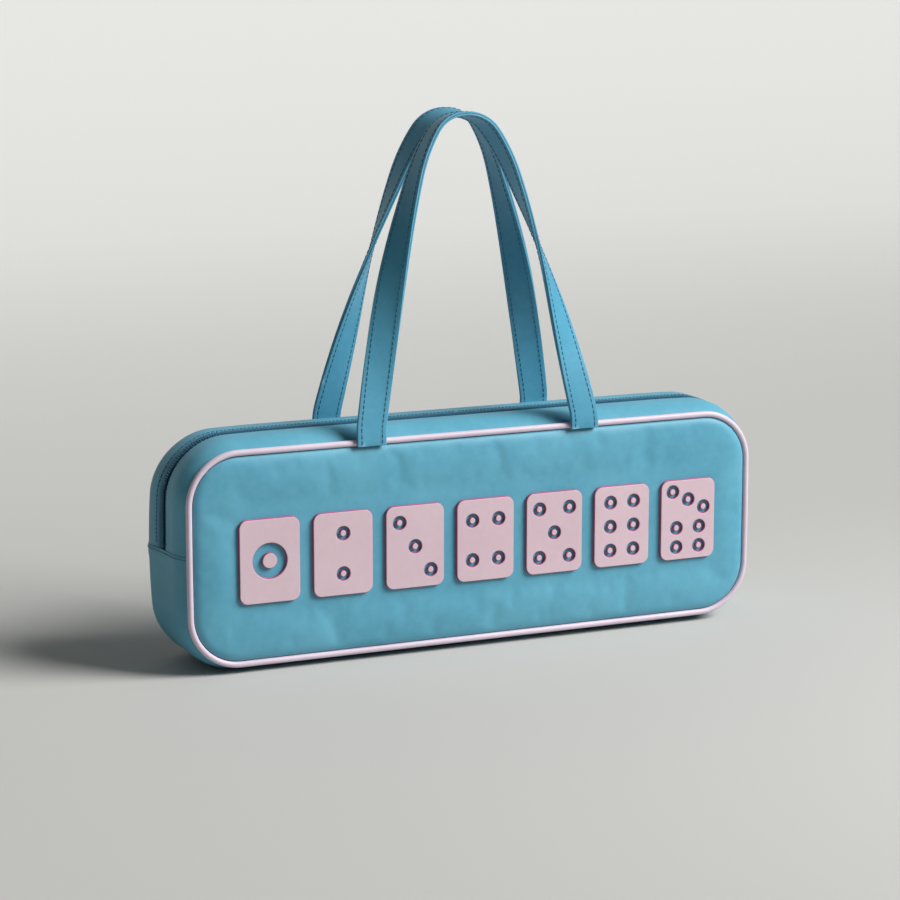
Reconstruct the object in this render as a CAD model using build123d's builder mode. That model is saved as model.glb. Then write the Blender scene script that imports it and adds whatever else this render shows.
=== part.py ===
from build123d import *
import os
from math import acos, asin, cos, degrees, radians, sin

# Soft zip-top carrying case for a tile game, in millimetres and degrees.
# X runs along the case, Y from the front to the rear, Z up; the origin is the centre of the base.

# ---- driving dimensions -------------------------------------------------------------------
LENGTH = 509.0  # between the piping centrelines, end to end
HEIGHT = 176.0  # between the piping centrelines, base to top
DEPTH = 84.0  # front piping centreline to rear piping centreline
CORNER_R = 42.0  # piping centreline at the four corners
BULGE = 8.0  # the gusset stands this far outside the piping centreline
FLAT_HALF = 20.0  # half the flat middle of the gusset, before it rounds down to the piping
SEAM_Z = 101.0  # side seam, where the base gusset laps the ends of the zip strips

PIPING_R = 2.6
PIPING_SKIN = 0.9
CORD_R = 1.65
FLANGE_REACH = 12.5  # seam allowance, inward from the piping centreline
FLANGE_ROOT = 2.2  # the flange starts inside the piping's wall
FLANGE_T = 1.2
BINDING_START = 5.2  # from the piping centreline in to the binding's open edge
BINDING_FOLD = 0.6  # binding beyond the flange's cut edge
BINDING_T = 0.6

SKIN = 1.6  # gusset and strip leather with its bonded backing
LINING = 0.6
CLEAR = 0.1  # between layers that lie on each other
GAP = 0.3  # between pieces that move apart
OVERLAP = 0.2  # solids of one piece reach this far into each other

PANEL_FACE = 46.0  # the padded panel's flat face, from mid-depth
PANEL_SKIN = 1.2
PANEL_RIM = 3.2  # how far the panel's edge turns back to the seam
PANEL_CROWN = 3.0  # round of the panel's border
PANEL_INSET = PIPING_R + GAP
PANEL_FOAM = 4.0
FOAM_INSET = FLANGE_REACH + BINDING_FOLD + GAP
LINING_INSET = 5.5

BASE_FOAM = 3.0
BOARD = 2.2
BOARD_END = 3.0  # the board stops this far before the round corners
BOARD_R = 4.0
BASE_LINING_DEPTH = 7.2

ZIP_SLOT_HALF = 6.2  # the strips' folded edges stop this far from the zip's centreline
TAPE_REACH = 15.0
TAPE = 0.6
TAPE_INNER = 0.9
COIL_OUTER = 4.2
COIL_T = 1.6
LINING_EDGE = 7.8
STOP_LENGTH = 3.2
STOP_R = 0.8
STOP_PROUD = 0.5  # the stops stand this far above the coil

STRAP_W = 25.0
PLY = 1.6
PLY_GAP = 0.2
HALF_SPAN = 97.0  # handle centreline to each foot
FRONT_HANDLE_X = -1.5
REAR_HANDLE_X = -5.3
FOOT_LOW = 181.6
FOOT_TOP = 188.0
APEX_Y = 14.0  # the two loops lean together and stop just short of each other
SWAY = 4.0  # each apex leans this far to one side, the front one left and the rear one right
LEG_ARCS = ((60.0, 11.2), (2580.0, 13.2), (1005.0, 19.8), (163.0, 34.0))  # radius, slope reached
LEG_STEPS = 22
APEX_STEPS = 7
ROOT_STEP = 0.8  # the loop starts this far above its foot
TWIST_FROM = -20.0  # heights, from the foot's top, between which the strap turns to face up
TWIST_TO = 265.0
TWIST = 90.0
TWIST_MORE = 12.0  # the right leg turns this much more than the left one

TILE_W = 52.0
TILE_H = 70.0
TILE_R = 7.0
TILE_PITCH = 64.0
TILE_ROW_X = 3.0
TILE_ROW_Z = 94.0
TILE_BACKING = 2.2
TILE_FACE = 0.8
PIP_R = 6.0
BIG_PIP_R = 15.0
PIP_CORE = 0.42  # the disc in the middle of each ring, as a share of the ring's opening

SLIDER_Z = 112.5
SLIDER_L = 11.0
SLIDER_W = 10.6
SLIDER_R = 2.0
PLATE_T = 1.5
PLATE_EDGE = 0.6
UNDER_PLATE = (4.0, 5.2)  # from and to, out from the piping centreline
UNDER_INSET = 0.7  # the plate under the tapes is this much narrower at each side
LIP_SHORT = 2.2  # the lips stop this far before the plate's ends
LIP_DEPTH = 1.2
BLADE_L = 5.5
BAR_R = 0.8
BAR_OUT = 12.0  # the pull's bar, out from the piping centreline
BAR_Z = 115.2
BAR_END = 1.0
BAR_FIT = 0.08
POST_R = 1.6
POST_T = 1.1
EYE_R = 1.9
PULL_T = 1.6
PULL_W = 7.4
PULL_L = 27.0
PULL_R = 2.4
NECK_L = 5.0
PULL_HOLE = (3.6, 1.8)

# ---- values worked out from them -------------------------------------------------------------
MID_Z = BULGE + HEIGHT / 2
TOP_Z = BULGE + HEIGHT
PIPING_Y = DEPTH / 2
RUN_HALF = LENGTH / 2 - CORNER_R
SHOULDER_Y = PIPING_Y - PIPING_R - GAP
SHOULDER_R = ((SHOULDER_Y - FLAT_HALF) ** 2 + BULGE**2) / (2 * BULGE)
SHOULDER_TURN = acos((SHOULDER_R - BULGE) / SHOULDER_R)
STRAP_T = 2 * PLY + PLY_GAP
FOOT_BACK = PIPING_Y + PIPING_R + GAP  # the foot's inner face, from mid-depth
FOOT_FACE = FOOT_BACK + STRAP_T
STOP_TOP = SEAM_Z + GAP + STOP_LENGTH

os.makedirs("parts", exist_ok=True)


def save(piece, name):
    """Name a finished piece and write it."""
    piece.part.label = name
    export_step(piece.part, f"parts/{name}.step")


def behind(front):
    """The rear twin of a front piece."""
    with BuildPart() as rear:
        mirror(front.part, about=Plane.XZ)
    return rear


def save_pair(front, name):
    save(front, f"front_{name}")
    save(behind(front), f"rear_{name}")


def face_plane(out):
    """Upright plane facing front, `out` in front of mid-depth, centred on the panel."""
    return Plane(origin=(0, -out, MID_Z), x_dir=(1, 0, 0), z_dir=(0, -1, 0))


def panel_outline(inset):
    RectangleRounded(LENGTH - 2 * inset, HEIGHT - 2 * inset, CORNER_R - inset)


# ---- front and rear panels: leather skin, foam and lining ---------------------------------------
with BuildPart() as front_panel:
    with BuildSketch(face_plane(PANEL_FACE)):
        panel_outline(PANEL_INSET)
    extrude(amount=-PANEL_RIM)
    fillet(front_panel.edges().group_by(Axis.Y)[0], radius=PANEL_CROWN)
    offset(amount=-PANEL_SKIN, openings=front_panel.faces().sort_by(Axis.Y)[-1])
save_pair(front_panel, "panel")

FOAM_FACE = PANEL_FACE - PANEL_SKIN - CLEAR
with BuildPart() as front_foam:
    with BuildSketch(face_plane(FOAM_FACE)):
        panel_outline(FOAM_INSET)
    extrude(amount=-PANEL_FOAM)
save_pair(front_foam, "foam")

with BuildPart() as front_lining:
    with BuildSketch(face_plane(FOAM_FACE - PANEL_FOAM - 2 * CLEAR)):
        panel_outline(LINING_INSET)
    extrude(amount=-LINING)
save_pair(front_lining, "lining")

# ---- piping: a leather tube with a sewn flange, round a cord, the seam bound with tape ----------
PIPING_START = Plane(origin=(0, -PIPING_Y, BULGE), x_dir=(0, 0, -1), z_dir=(1, 0, 0))

with BuildLine(Plane.XZ.offset(PIPING_Y)) as piping_route:
    FilletPolyline(
        (-LENGTH / 2, BULGE),
        (LENGTH / 2, BULGE),
        (LENGTH / 2, TOP_Z),
        (-LENGTH / 2, TOP_Z),
        radius=CORNER_R,
        close=True,
    )


def piping_ring(draw):
    """A section, drawn outward by across, swept once round the panel."""
    with BuildPart() as ring:
        with BuildSketch(PIPING_START):
            draw()
        sweep(path=piping_route.wire())
    return ring


def piping_section():
    Circle(PIPING_R)
    with Locations((-(FLANGE_REACH + FLANGE_ROOT) / 2, 0)):
        Rectangle(FLANGE_REACH - FLANGE_ROOT, FLANGE_T)
    Circle(PIPING_R - PIPING_SKIN, mode=Mode.SUBTRACT)


def cord_section():
    Circle(CORD_R)


def binding_section():
    slot_end = FLANGE_REACH + CLEAR
    end = FLANGE_REACH + BINDING_FOLD
    slot_t = FLANGE_T + 2 * CLEAR
    with Locations((-(BINDING_START + end) / 2, 0)):
        Rectangle(end - BINDING_START, slot_t + 2 * BINDING_T)
    with Locations((-(BINDING_START + slot_end) / 2, 0)):
        Rectangle(slot_end - BINDING_START, slot_t, mode=Mode.SUBTRACT)


save_pair(piping_ring(piping_section), "piping")
save_pair(piping_ring(cord_section), "piping_cord")
save_pair(piping_ring(binding_section), "seam_binding")


# ---- gusset sections, drawn outward (local x) by across (local y) -------------------------------
def shoulder_point(depth, turn):
    """A point of the front shoulder's round, `depth` below the gusset's outer face."""
    reach = SHOULDER_R - depth
    return (BULGE - SHOULDER_R + reach * cos(turn), -FLAT_HALF - reach * sin(turn))


def half_band(depth, thick, edge):
    """Front half of a gusset layer, from the piping over the shoulder and in to `edge`."""
    turns = (SHOULDER_TURN, SHOULDER_TURN / 2, 0)
    outer = [shoulder_point(depth, turn) for turn in turns]
    inner = [shoulder_point(depth + thick, turn) for turn in turns]
    with BuildLine() as outline:
        ThreePointArc(*outer)
        Polyline(outer[2], (outer[2][0], -edge), (inner[2][0], -edge), inner[2])
        ThreePointArc(*inner)
        Line(inner[0], outer[0])
    make_face(outline.edges())


def slab(depth, thick, inner, outer):
    """Flat layer of the zip, from `inner` to `outer` in front of its centreline."""
    with Locations((BULGE - depth - thick / 2, -(inner + outer) / 2)):
        Rectangle(thick, outer - inner)


# ---- base gusset: one band under the case and up both ends to the side seams --------------------
BASE_START = Plane(origin=(-LENGTH / 2, 0, SEAM_Z), x_dir=(-1, 0, 0), z_dir=(0, 0, -1))

with BuildLine(Plane.XZ) as base_route:
    FilletPolyline(
        (-LENGTH / 2, SEAM_Z),
        (-LENGTH / 2, BULGE),
        (LENGTH / 2, BULGE),
        (LENGTH / 2, SEAM_Z),
        radius=CORNER_R,
    )


def base_band(depth, thick):
    with BuildPart() as band:
        with BuildSketch(BASE_START):
            half_band(depth, thick, 0)
            mirror(about=Plane.XZ)
        sweep(path=base_route.wire())
    return band


save(base_band(0, SKIN), "base_gusset")
save(base_band(SKIN + CLEAR, BASE_FOAM), "base_foam")
save(base_band(BASE_LINING_DEPTH, LINING), "base_lining")

with BuildPart() as base_board:
    with BuildSketch(Plane.XY.offset(SKIN + BASE_FOAM + 2 * CLEAR)):
        RectangleRounded(2 * (RUN_HALF - BOARD_END), 2 * FLAT_HALF, BOARD_R)
    extrude(amount=BOARD)
save(base_board, "base_board")

# ---- zip-top gusset: two strips with their lining, tape and coil --------------------------------
# Each strip's straight run along the top folds open, and its two ends stay with the case.
RUN_START = Plane(origin=(RUN_HALF - GAP, 0, TOP_Z), x_dir=(0, 0, 1), z_dir=(-1, 0, 0))


def zip_run(draw, *sizes):
    with BuildPart() as layer:
        with BuildSketch(RUN_START):
            draw(*sizes)
        extrude(amount=2 * (RUN_HALF - GAP))
    return layer


def zip_ends(start, draw, *sizes):
    """The same layer up the right end from height `start` and round its corner, and mirrored."""
    with BuildLine(Plane.XZ) as route:
        Line((LENGTH / 2, start), (LENGTH / 2, TOP_Z - CORNER_R))
        JernArc((LENGTH / 2, TOP_Z - CORNER_R), (0, 1), CORNER_R, 90)
    with BuildPart() as layer:
        with BuildSketch(Plane(origin=(LENGTH / 2, 0, start), x_dir=(1, 0, 0), z_dir=(0, 0, 1))):
            draw(*sizes)
        sweep(path=route.wire())
        mirror(about=Plane.YZ)
    return layer


TAPE_DEPTH = SKIN + CLEAR
LINING_DEPTH = TAPE_DEPTH + TAPE + 2 * CLEAR
STRIP_LAYERS = {
    "zip_strip": (SEAM_Z + GAP, half_band, 0, SKIN, ZIP_SLOT_HALF),
    "strip_lining": (SEAM_Z + GAP, half_band, LINING_DEPTH, LINING, LINING_EDGE),
    "zip_tape": (SEAM_Z + GAP, slab, TAPE_DEPTH, TAPE, TAPE_INNER, TAPE_REACH),
    "zip_coil": (STOP_TOP + GAP, slab, CLEAR / 2, COIL_T, TAPE_INNER, COIL_OUTER),
}
for layer_name, (start, draw, *sizes) in STRIP_LAYERS.items():
    save_pair(zip_run(draw, *sizes), f"{layer_name}_run")
    save_pair(zip_ends(start, draw, *sizes), f"{layer_name}_ends")

# ---- zip stops, slider and pull, on the gusset's centreline at the ends ---------------------------
RIGHT_END = Plane(origin=(LENGTH / 2, 0, 0), x_dir=(0, 1, 0), z_dir=(1, 0, 0))
TAPE_TOP = BULGE - TAPE_DEPTH + CLEAR / 2

with BuildPart() as zip_stops:
    with BuildSketch(RIGHT_END.offset(TAPE_TOP)):
        with Locations((0, SEAM_Z + GAP + STOP_LENGTH / 2)):
            RectangleRounded(2 * COIL_OUTER, STOP_LENGTH, STOP_R)
    extrude(amount=COIL_T + STOP_PROUD)
    mirror(about=Plane.YZ)
save(zip_stops, "zip_stops")

SLIDER_TOP = SLIDER_Z + SLIDER_L / 2
LIP_INNER = COIL_OUTER + GAP
PLATE_OUT = BULGE + GAP
POST_OUT = PLATE_OUT + PLATE_T - OVERLAP
POST_AT = EYE_R + GAP + POST_T / 2

with BuildPart() as zip_slider:
    with BuildSketch(RIGHT_END.offset(PLATE_OUT)):
        with Locations((0, SLIDER_Z)):
            RectangleRounded(SLIDER_W, SLIDER_L, SLIDER_R)
    extrude(amount=PLATE_T)
    fillet(zip_slider.edges().group_by(Axis.X)[-1], radius=PLATE_EDGE)
    # lips down each side of the coils
    with BuildSketch(RIGHT_END.offset(PLATE_OUT - LIP_DEPTH)):
        for side in (-1, 1):
            with Locations((side * (LIP_INNER + SLIDER_W / 2) / 2, SLIDER_Z)):
                Rectangle(SLIDER_W / 2 - LIP_INNER, SLIDER_L - 2 * LIP_SHORT)
    extrude(amount=LIP_DEPTH + OVERLAP)
    # blade between the coils, and the plate under the tapes
    with BuildSketch(RIGHT_END.offset(UNDER_PLATE[1] - OVERLAP)):
        with Locations((0, SLIDER_TOP - BLADE_L / 2)):
            Rectangle(2 * (TAPE_INNER - GAP), BLADE_L - 2 * OVERLAP)
    extrude(amount=PLATE_OUT - UNDER_PLATE[1] + 2 * OVERLAP)
    with BuildSketch(RIGHT_END.offset(UNDER_PLATE[0])):
        with Locations((0, SLIDER_Z)):
            RectangleRounded(SLIDER_W - 2 * UNDER_INSET, SLIDER_L - 2 * OVERLAP, SLIDER_R)
    extrude(amount=UNDER_PLATE[1] - UNDER_PLATE[0])
    # posts that carry the pull's bar
    with BuildSketch(Plane.XZ):
        with Locations((LENGTH / 2 + BAR_OUT, BAR_Z)):
            Circle(BAR_R)
    extrude(amount=EYE_R + BAR_END, both=True)
    for side in (-1, 1):
        with BuildSketch(Plane.XZ.offset(side * POST_AT)):
            with Locations((LENGTH / 2 + BAR_OUT, BAR_Z)):
                Circle(POST_R)
            with Locations((LENGTH / 2 + (POST_OUT + BAR_OUT) / 2, BAR_Z)):
                Rectangle(BAR_OUT - POST_OUT, 2 * POST_R)
        extrude(amount=POST_T / 2, both=True)
save(zip_slider, "zip_slider")

with BuildPart() as zip_pull:
    with BuildSketch(Plane.XZ):
        with Locations((LENGTH / 2 + BAR_OUT, BAR_Z)):
            Circle(EYE_R)
    extrude(amount=EYE_R, both=True)
    with BuildSketch(RIGHT_END.offset(BAR_OUT - PULL_T / 2)):
        with Locations((0, BAR_Z - (NECK_L + PULL_R) / 2)):
            Rectangle(2 * EYE_R, NECK_L + PULL_R)
        with Locations((0, BAR_Z - (NECK_L + PULL_L) / 2)):
            RectangleRounded(PULL_W, PULL_L - NECK_L, PULL_R)
    extrude(amount=PULL_T)
    with BuildSketch(RIGHT_END.offset(BAR_OUT - PULL_T / 2)):
        with Locations((0, BAR_Z - PULL_L + 2 * PULL_R)):
            SlotOverall(*PULL_HOLE)
    extrude(amount=PULL_T, mode=Mode.SUBTRACT)
    with BuildSketch(Plane.XZ):
        with Locations((LENGTH / 2 + BAR_OUT, BAR_Z)):
            Circle(BAR_R + BAR_FIT)
    extrude(amount=EYE_R + BAR_END, both=True, mode=Mode.SUBTRACT)
save(zip_pull, "zip_pull")

# ---- carrying handles: a two-ply strap in a leaning loop, with its feet sewn over the piping -------
TOP_SLOPE = LEG_ARCS[-1][1]


def arc_step(radius, before, after):
    """How far in and how far up an arc of the leg leads, between two slopes."""
    inward = radius * (cos(radians(before)) - cos(radians(after)))
    return inward, radius * (sin(radians(after)) - sin(radians(before)))


def leg_point(share):
    """Half-span, height and slope (0 upright, 90 level) of the strap's centreline.

    `share` runs from 0 at the foot to 1 where the apex round starts, and to 2 at the apex.
    """
    across, height, before = HALF_SPAN, ROOT_STEP, 0.0
    lengths = [
        radius * radians(slope - start)
        for (radius, slope), start in zip(LEG_ARCS, (0.0, *(slope for _, slope in LEG_ARCS)))
    ]
    travel = min(share, 1) * sum(lengths)
    for (radius, _), length in zip(LEG_ARCS, lengths):
        part = min(travel, length)
        after = before + degrees(part / radius)
        inward, up = arc_step(radius, before, after)
        across, height, before, travel = across - inward, height + up, after, travel - part
    if share > 1:
        radius = across / cos(radians(before))
        after = before + (90 - before) * (share - 1)
        inward, up = arc_step(radius, before, after)
        across, height, before = across - inward, height + up, after
    return across, height, before


APEX_RISE = leg_point(2)[1]
LEAN = degrees(asin((FOOT_FACE - STRAP_T / 2 - APEX_Y) / APEX_RISE))


def ease(value, low, high):
    """0 below `low`, 1 above `high`, and a smooth step between."""
    part = min(max((value - low) / (high - low), 0), 1)
    return part * part * (3 - 2 * part)


def loop_planes(centre_x):
    """Section planes from the right foot over the apex to the left foot.

    Local x is the strap's width and local -y its outer face.
    """
    hinge = Plane(origin=(centre_x, -FOOT_FACE, FOOT_TOP)).rotated((-LEAN, 0, 0))
    shares = [step / LEG_STEPS for step in range(LEG_STEPS)]
    shares += [1 + step / APEX_STEPS for step in range(APEX_STEPS + 1)]
    stations = [(1, share) for share in shares] + [(-1, share) for share in shares[-2::-1]]
    for side, share in stations:
        across, height, slope = leg_point(share)
        more = TWIST_MORE * min(2 - share, 1) if side > 0 else 0
        turn, lift = radians((TWIST + more) * ease(height, TWIST_FROM, TWIST_TO)), radians(slope)
        along = Vector(-sin(lift), 0, side * cos(lift))
        outward = Vector(side * cos(lift), 0, sin(lift))
        face = Vector(0, -cos(turn), 0) + outward * sin(turn)
        sway = SWAY * height / APEX_RISE
        place = Plane(
            origin=(side * across - sway, STRAP_T / 2, height), x_dir=along.cross(face), z_dir=along
        )
        yield Plane(hinge.location * place.location)


def strap_ply(centre_x, side):
    """One ply of the strap: `side` is -1 for the outer ply and 1 for the inner one."""
    with BuildPart() as ply:
        for plane in loop_planes(centre_x):
            with BuildSketch(plane):
                with Locations((0, side * (PLY + PLY_GAP) / 2)):
                    Rectangle(STRAP_W, PLY)
        loft(ruled=True)
    return ply


def handle_feet(centre_x):
    with BuildPart() as feet:
        with BuildSketch(face_plane(FOOT_BACK)):
            for side in (-1, 1):
                with Locations((centre_x + side * HALF_SPAN, (FOOT_LOW + FOOT_TOP) / 2 - MID_Z)):
                    Rectangle(STRAP_W, FOOT_TOP - FOOT_LOW)
        extrude(amount=STRAP_T)
    return feet


def turned(front):
    """A rear handle piece: a front one turned half round the upright axis."""
    with BuildPart() as rear:
        add(front.part.rotate(Axis.Z, 180))
    return rear


save(strap_ply(FRONT_HANDLE_X, -1), "front_handle_outer")
save(strap_ply(FRONT_HANDLE_X, 1), "front_handle_inner")
save(handle_feet(FRONT_HANDLE_X), "front_handle_feet")
save(turned(strap_ply(-REAR_HANDLE_X, -1)), "rear_handle_outer")
save(turned(strap_ply(-REAR_HANDLE_X, 1)), "rear_handle_inner")
save(turned(handle_feet(-REAR_HANDLE_X)), "rear_handle_feet")

# ---- seven tile-shaped patches on the front: pips of the circle suit, one to seven ----------------
PIPS = {
    1: [(0, 0)],
    2: [(0, -17), (0, 17)],
    3: [(-14, 21), (0, 0), (14, -21)],
    4: [(-12, -17), (12, -17), (-12, 17), (12, 17)],
    5: [(-14, -21), (14, -21), (0, 0), (-14, 21), (14, 21)],
    6: [(x, z) for x in (-11, 11) for z in (-21, 0, 21)],
    7: [(-15, 25), (0, 17.5), (15, 10), (-11, -7), (11, -7), (-11, -24), (11, -24)],
}


def tile_patch(count, back, thick):
    """One layer of a patch, with each pip cut out as a ring round its core."""
    radius = BIG_PIP_R if count == 1 else PIP_R
    centre = Location((TILE_ROW_X + (count - 4) * TILE_PITCH, TILE_ROW_Z - MID_Z, 0))
    with BuildPart() as patch:
        with BuildSketch(face_plane(back)):
            with Locations(centre):
                RectangleRounded(TILE_W, TILE_H, TILE_R)
                with Locations(*PIPS[count]):
                    Circle(radius, mode=Mode.SUBTRACT)
                with Locations(*PIPS[count]):
                    Circle(radius * PIP_CORE)
        extrude(amount=thick)
    return patch


for count in PIPS:
    backing = PANEL_FACE + CLEAR / 2
    save(tile_patch(count, backing, TILE_BACKING), f"tile_backing_{count}")
    save(tile_patch(count, backing + TILE_BACKING + CLEAR / 2, TILE_FACE), f"tile_patch_{count}")

print(f"loops lean {LEAN:.2f} degrees, apex {APEX_RISE:.1f} above the feet")
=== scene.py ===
import bpy
from math import acos, asin, copysign, cos, pi, radians, sin, sqrt
from mathutils import Matrix, Vector, noise


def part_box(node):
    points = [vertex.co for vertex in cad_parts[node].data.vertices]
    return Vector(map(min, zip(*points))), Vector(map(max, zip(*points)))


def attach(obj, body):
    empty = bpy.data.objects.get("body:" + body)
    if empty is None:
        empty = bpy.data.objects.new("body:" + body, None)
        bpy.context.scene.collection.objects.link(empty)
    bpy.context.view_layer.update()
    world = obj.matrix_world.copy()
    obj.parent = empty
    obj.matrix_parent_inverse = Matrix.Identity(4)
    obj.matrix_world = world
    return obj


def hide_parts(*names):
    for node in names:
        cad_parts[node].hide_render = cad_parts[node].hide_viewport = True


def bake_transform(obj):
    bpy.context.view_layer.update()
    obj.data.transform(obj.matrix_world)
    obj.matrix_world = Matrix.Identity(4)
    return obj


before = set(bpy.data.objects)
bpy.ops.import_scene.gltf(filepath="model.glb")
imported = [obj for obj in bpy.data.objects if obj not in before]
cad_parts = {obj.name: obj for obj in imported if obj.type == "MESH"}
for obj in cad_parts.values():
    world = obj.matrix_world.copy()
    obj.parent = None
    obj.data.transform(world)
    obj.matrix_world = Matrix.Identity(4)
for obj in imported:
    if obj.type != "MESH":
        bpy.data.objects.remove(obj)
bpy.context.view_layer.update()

# Soft zip-top case for a tile game. Leather pieces are cut flat, with their thickness and their
# stitches, and then laid along the route that they are sewn to. Sizes are in metres.
MM = 0.001
SIDES = {"front": -1, "rear": 1}
ENDS = {"right": 1, "left": -1}

# ---- sizes of the case, as in the frame ---------------------------------------------------------
PIPING_R = 2.6 * MM
CORNER_R = 42.0 * MM
PIPING_LOW, PIPING_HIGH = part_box("front_piping")
HALF_L = PIPING_HIGH.x - PIPING_R
BASE_Z = PIPING_LOW.z + PIPING_R
TOP_Z = PIPING_HIGH.z - PIPING_R
PIPING_Y = -PIPING_LOW.y - PIPING_R
MID_Z = (BASE_Z + TOP_Z) / 2
HALF_H = (TOP_Z - BASE_Z) / 2
PANEL_FACE = -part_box("front_panel")[0].y
SEAM_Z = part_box("base_gusset")[1].z
BULGE = BASE_Z
FLAT_HALF = 20.0 * MM
SHOULDER_Y = PIPING_Y - PIPING_R - 0.1 * MM
SHOULDER_R = ((SHOULDER_Y - FLAT_HALF) ** 2 + BULGE**2) / (2 * BULGE)
SHOULDER_TURN = acos((SHOULDER_R - BULGE) / SHOULDER_R)
SHOULDER_RUN = SHOULDER_R * SHOULDER_TURN
HALF_BAND = SHOULDER_RUN + FLAT_HALF  # the gusset's flat width, from a piping to the middle
RIDGE = 2.0 * MM  # the zip stands this much prouder along the top
RIDGE_FADE = 40.0 * MM

# ---- sizes of leather, zip and thread -------------------------------------------------------------
SKIN = 1.6 * MM
SKIN_CELL = (4 * MM, 2.6 * MM)
HEM = 9.0 * MM
FOLD = 0.7 * MM  # the base gusset's folded hem stands this proud of the strips
HEM_EDGE = 1.5 * MM
HEM_ROW = 2.6 * MM
ZIP_SLOT_HALF = 5.4 * MM
ZIP_DIP = 1.1 * MM  # the folded edges sink this far towards the zip's tape
ZIP_DIP_WIDTH = 4.5 * MM
CHAIN_HALF = 4.2 * MM
TOOTH_R = 0.75 * MM
TOOTH_PITCH = 1.9 * MM
TOOTH_OVERLAP = 0.6 * MM
TOOTH_LIFT = -0.5 * MM
STITCH = 3.4 * MM
THREAD_R = 0.42 * MM
THREAD_LIFT = 0.1 * MM

# ---- softness of the two ends -----------------------------------------------------------------------
END_BOW = 0.8 * MM  # how far both ends bow out
BOW_RUN = 70.0 * MM
# the left end bows out further at the rear, and less by the piping: how much more, and the
# share of the case's depth where that starts and is full
SLACK_BOW = ((5.6 * MM, 0.25, 0.8), (-3.6 * MM, 0.75, 1.0))

# ---- strap handles, as in the frame -----------------------------------------------------------------
STRAP_W = 25.0 * MM
PLY = 1.6 * MM
PLY_GAP = 0.2 * MM
STRAP_T = 2 * PLY + PLY_GAP
FOOT_LOW, FOOT_TOP = (corner.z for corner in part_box("front_handle_feet"))
FOOT_FACE = -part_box("front_handle_feet")[0].y
FOOT_BEND = (-4.0 * MM, 8.0 * MM)  # the leather bends between these heights from the feet's top
HALF_SPAN = 97.0 * MM
FRONT_HANDLE_X = -1.5 * MM
REAR_HANDLE_X = -5.3 * MM
ROOT_STEP = 0.8 * MM
APEX_Y = 14.0 * MM
SWAY = 4.0 * MM
# each arc of a leg, from the foot up: its radius, and the slope that it ends at in degrees
LEG = ((60.0 * MM, 11.2), (2580.0 * MM, 13.2), (1005.0 * MM, 19.8), (163.0 * MM, 34.0))
TWIST = (90.0, -20.0 * MM, 265.0 * MM)  # turn in degrees, and the heights it is spread over
TWIST_MORE = 12.0  # the right leg turns this much more than the left one
STRAP_ROW = STRAP_W / 2 - 3.6 * MM
STRAP_STITCH = 4.6 * MM


# ---- general helpers --------------------------------------------------------------------------------
def ease(value, low, high):
    """From 0 at low to 1 at high, starting and stopping smoothly."""
    part = min(max((value - low) / (high - low), 0.0), 1.0)
    return part * part * (3 - 2 * part)


def only(piece):
    """Select one piece alone and make it active."""
    bpy.ops.object.select_all(action="DESELECT")
    piece.select_set(True)
    bpy.context.view_layer.objects.active = piece


def edit(piece, *steps):
    """Run edit-mode operators on all of a piece."""
    only(piece)
    bpy.ops.object.mode_set(mode="EDIT")
    bpy.ops.mesh.select_all(action="SELECT")
    for step in steps:
        step()
    bpy.ops.object.mode_set(mode="OBJECT")


def modify(piece, kind, **settings):
    """Add a modifier with these settings and apply it."""
    only(piece)
    modifier = piece.modifiers.new(kind.lower(), kind)
    for name, value in settings.items():
        setattr(modifier, name, value)
    bpy.ops.object.modifier_apply(modifier=modifier.name)
    return piece


def join(pieces, name):
    only(pieces[0])
    for piece in pieces:
        piece.select_set(True)
    bpy.ops.object.join()
    pieces[0].name = name
    return pieces[0]


def outward(piece):
    """Close doubles and turn every face outwards."""
    edit(
        piece,
        lambda: bpy.ops.mesh.remove_doubles(threshold=0.02 * MM),
        lambda: bpy.ops.mesh.normals_make_consistent(inside=False),
    )
    return piece


def smooth(piece, angle=50.0):
    only(piece)
    bpy.ops.object.shade_smooth_by_angle(angle=radians(angle))
    return piece


def lay(piece, place):
    """Move each point of a flat piece to where the sewn piece has it."""
    for vertex in piece.data.vertices:
        vertex.co = place(*vertex.co)
    return outward(piece)


def flat_cut(name, low, high, cell):
    """A sheet cut flat from low to high, divided into cells of about this length and width."""
    size = [high[i] - low[i] for i in range(2)]
    counts = [max(1, round(size[i] / cell[i])) for i in range(2)]
    bpy.ops.mesh.primitive_grid_add(x_subdivisions=counts[0], y_subdivisions=counts[1], size=1)
    piece = bpy.context.object
    piece.name = name
    middle = (low[0] + size[0] / 2, low[1] + size[1] / 2, 0)
    edit(
        piece,
        lambda: bpy.ops.transform.resize(value=(size[0], size[1], 1)),
        lambda: bpy.ops.transform.translate(value=middle),
    )
    return piece


def lift_flat(piece, lift):
    """Raise a flat cut to this height."""
    for vertex in piece.data.vertices:
        vertex.co.z = lift


def round_edges(piece, width, segments, angle=60):
    """Round every edge that turns by more than this angle."""
    return modify(piece, "BEVEL", width=width, segments=segments, limit_method="ANGLE",
                  angle_limit=radians(angle))


def thicken(piece, thick, edge, segments=2):
    """Give a flat cut its thickness below its face, with the cut edges rounded."""
    modify(piece, "SOLIDIFY", thickness=thick, offset=-1.0)
    return round_edges(piece, edge, segments)


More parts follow.
